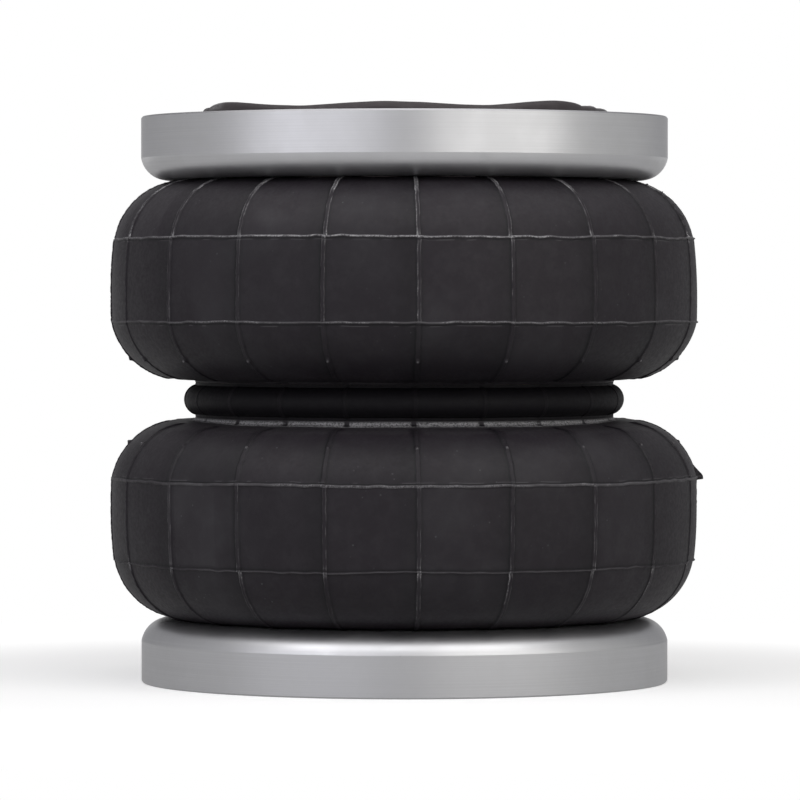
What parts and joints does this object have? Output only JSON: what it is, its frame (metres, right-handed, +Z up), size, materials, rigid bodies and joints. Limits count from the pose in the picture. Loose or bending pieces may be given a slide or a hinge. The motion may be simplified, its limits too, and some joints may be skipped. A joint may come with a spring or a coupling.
{
  "type": "air suspension spring",
  "caption": "Rubber air spring with two ribbed convolutions, a hooped waist and a loose aluminium flange ring clamping the bead at each end.",
  "frame": {"origin": "centre of the lower flange ring's outer face, on the surface that it stands on", "axes": "+Z up along the spring's axis towards the upper flange ring; -Y is the side that the picture shows"},
  "size_m": [0.2232, 0.2232, 0.2179],
  "materials": {
    "flange_ring": "fine turned satin, clear anodised",
    "cover_rubber": "matte moulded, chalky on the ribs",
    "bead_rubber": "matte moulded, slightly wrinkled",
    "liner_rubber": "smooth matte",
    "cord_ply": "rubbered cord fabric",
    "bead_wire": "bronzed drawn wire"
  },
  "bodies": {
    "lower_ring": {"lower_flange_ring": "flange_ring"},
    "lower_bead": {"lower_bead_core": "bead_wire", "lower_bead_plies": "cord_ply", "lower_bead_rubber": "bead_rubber"},
    "lower_convolution": {"lower_cover": "cover_rubber", "lower_outer_ply": "cord_ply", "lower_inner_ply": "cord_ply", "lower_liner": "liner_rubber"},
    "girdle": {"girdle_hoop": "bead_wire", "girdle_cover": "cover_rubber", "girdle_outer_ply": "cord_ply", "girdle_inner_ply": "cord_ply", "girdle_liner": "liner_rubber"},
    "upper_convolution": {"upper_cover": "cover_rubber", "upper_outer_ply": "cord_ply", "upper_inner_ply": "cord_ply", "upper_liner": "liner_rubber"},
    "upper_bead": {"upper_bead_core": "bead_wire", "upper_bead_plies": "cord_ply", "upper_bead_rubber": "bead_rubber"},
    "upper_ring": {"upper_flange_ring": "flange_ring"}
  },
  "joints": [
    {"name": "lower_ring_turn", "type": "hinge", "parent": "lower_ring", "child": "lower_bead", "pos_m": [0, 0, 0.012], "axis": [0, 0, 1], "continuous": true},
    {"name": "lower_stroke", "type": "slide", "parent": "lower_bead", "child": "lower_convolution", "axis": [0, 0, 1], "range_m": [-0.038, 0.014], "stiffness_N_per_m": 6000, "springref_m": 0.0035, "deforming": ["lower_cover", "lower_outer_ply", "lower_inner_ply", "lower_liner"]},
    {"name": "tilt_side", "type": "hinge", "parent": "lower_convolution", "child": "girdle", "pos_m": [0, 0, 0.1072], "axis": [0, 1, 0], "range_deg": [-5, 5], "stiffness_Nm_per_rad": 60, "deforming": ["lower_cover", "lower_outer_ply", "lower_inner_ply", "lower_liner"]},
    {"name": "tilt_front", "type": "hinge", "parent": "girdle", "child": "upper_convolution", "pos_m": [0, 0, 0.1072], "axis": [1, 0, 0], "range_deg": [-5, 5], "stiffness_Nm_per_rad": 60, "deforming": ["upper_cover", "upper_outer_ply", "upper_inner_ply", "upper_liner"]},
    {"name": "upper_stroke", "type": "slide", "parent": "upper_convolution", "child": "upper_bead", "axis": [0, 0, 1], "range_m": [-0.038, 0.014], "stiffness_N_per_m": 6000, "springref_m": 0.0035, "deforming": ["upper_cover", "upper_outer_ply", "upper_inner_ply", "upper_liner"]},
    {"name": "upper_ring_turn", "type": "hinge", "parent": "upper_bead", "child": "upper_ring", "pos_m": [0, 0, 0.2024], "axis": [0, 0, 1], "continuous": true}
  ],
  "couplings": [
    {"joint": "upper_stroke", "follows": "lower_stroke", "ratio": 1}
  ]
}
